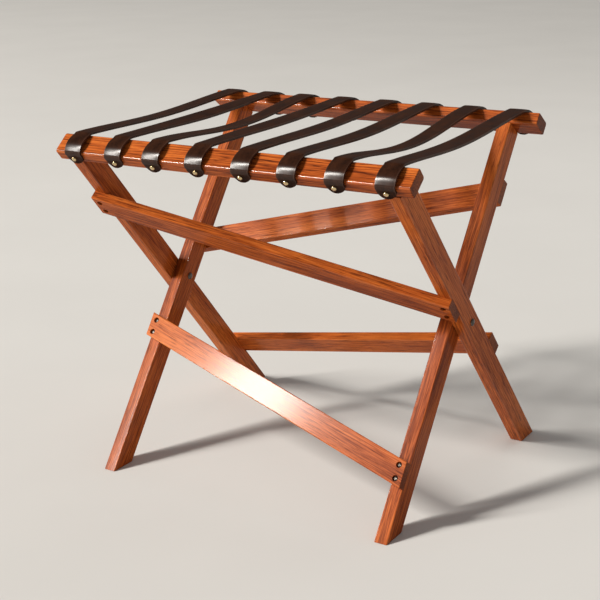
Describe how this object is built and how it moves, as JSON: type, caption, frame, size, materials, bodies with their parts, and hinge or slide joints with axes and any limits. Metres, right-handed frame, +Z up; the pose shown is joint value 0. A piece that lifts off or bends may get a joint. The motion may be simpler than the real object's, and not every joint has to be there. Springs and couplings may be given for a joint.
{
  "type": "folding luggage bench",
  "caption": "Folding hotel luggage bench: two crossed timber frames on side pivots, diagonal stretchers between the legs and leather straps across the top rails.",
  "frame": {"origin": "on the floor, under the middle of the bench's overall box", "axes": "+X along the rails to the right, +Y to the back rail, +Z up"},
  "size_m": [0.6, 0.476, 0.5506],
  "materials": {
    "timber": "reddish-brown hardwood, satin oil, straight grain",
    "leather": "very dark brown, smooth, waxed satin",
    "brass": "polished domes",
    "steel": "dull zinc"
  },
  "bodies": {
    "outer_frame": {"front_dome_screw_1": "brass", "front_dome_screw_2": "brass", "front_dome_screw_3": "brass", "front_dome_screw_4": "brass", "front_dome_screw_5": "brass", "front_dome_screw_6": "brass", "front_dome_screw_7": "brass", "front_dome_screw_8": "brass", "front_rail": "timber", "outer_leg_left": "timber", "outer_leg_right": "timber", "outer_lower_screw_left_a": "steel", "outer_lower_screw_left_b": "steel", "outer_lower_screw_right_a": "steel", "outer_lower_screw_right_b": "steel", "outer_lower_stretcher": "timber", "outer_upper_screw_left_a": "steel", "outer_upper_screw_left_b": "steel", "outer_upper_screw_right_a": "steel", "outer_upper_screw_right_b": "steel", "outer_upper_stretcher": "timber", "pivot_bolt_left": "steel", "pivot_bolt_right": "steel", "pivot_cap_left": "steel", "pivot_cap_right": "steel", "pivot_washer_left": "steel", "pivot_washer_right": "steel", "strap_1": "leather", "strap_2": "leather", "strap_3": "leather", "strap_4": "leather", "strap_5": "leather", "strap_6": "leather", "strap_7": "leather", "strap_8": "leather"},
    "inner_frame": {"back_dome_screw_1": "brass", "back_dome_screw_2": "brass", "back_dome_screw_3": "brass", "back_dome_screw_4": "brass", "back_dome_screw_5": "brass", "back_dome_screw_6": "brass", "back_dome_screw_7": "brass", "back_dome_screw_8": "brass", "back_rail": "timber", "inner_leg_left": "timber", "inner_leg_right": "timber", "inner_lower_screw_left_a": "steel", "inner_lower_screw_left_b": "steel", "inner_lower_screw_right_a": "steel", "inner_lower_screw_right_b": "steel", "inner_lower_stretcher": "timber", "inner_upper_screw_left_a": "steel", "inner_upper_screw_left_b": "steel", "inner_upper_screw_right_a": "steel", "inner_upper_screw_right_b": "steel", "inner_upper_stretcher": "timber"}
  },
  "joints": [
    {"name": "fold", "type": "hinge", "parent": "outer_frame", "child": "inner_frame", "pos_m": [0, -0.00544, 0.267], "axis": [1, 0, 0], "range_deg": [0, 68], "deforming": ["strap_1", "strap_2", "strap_3", "strap_4", "strap_5", "strap_6", "strap_7", "strap_8"]}
  ]
}
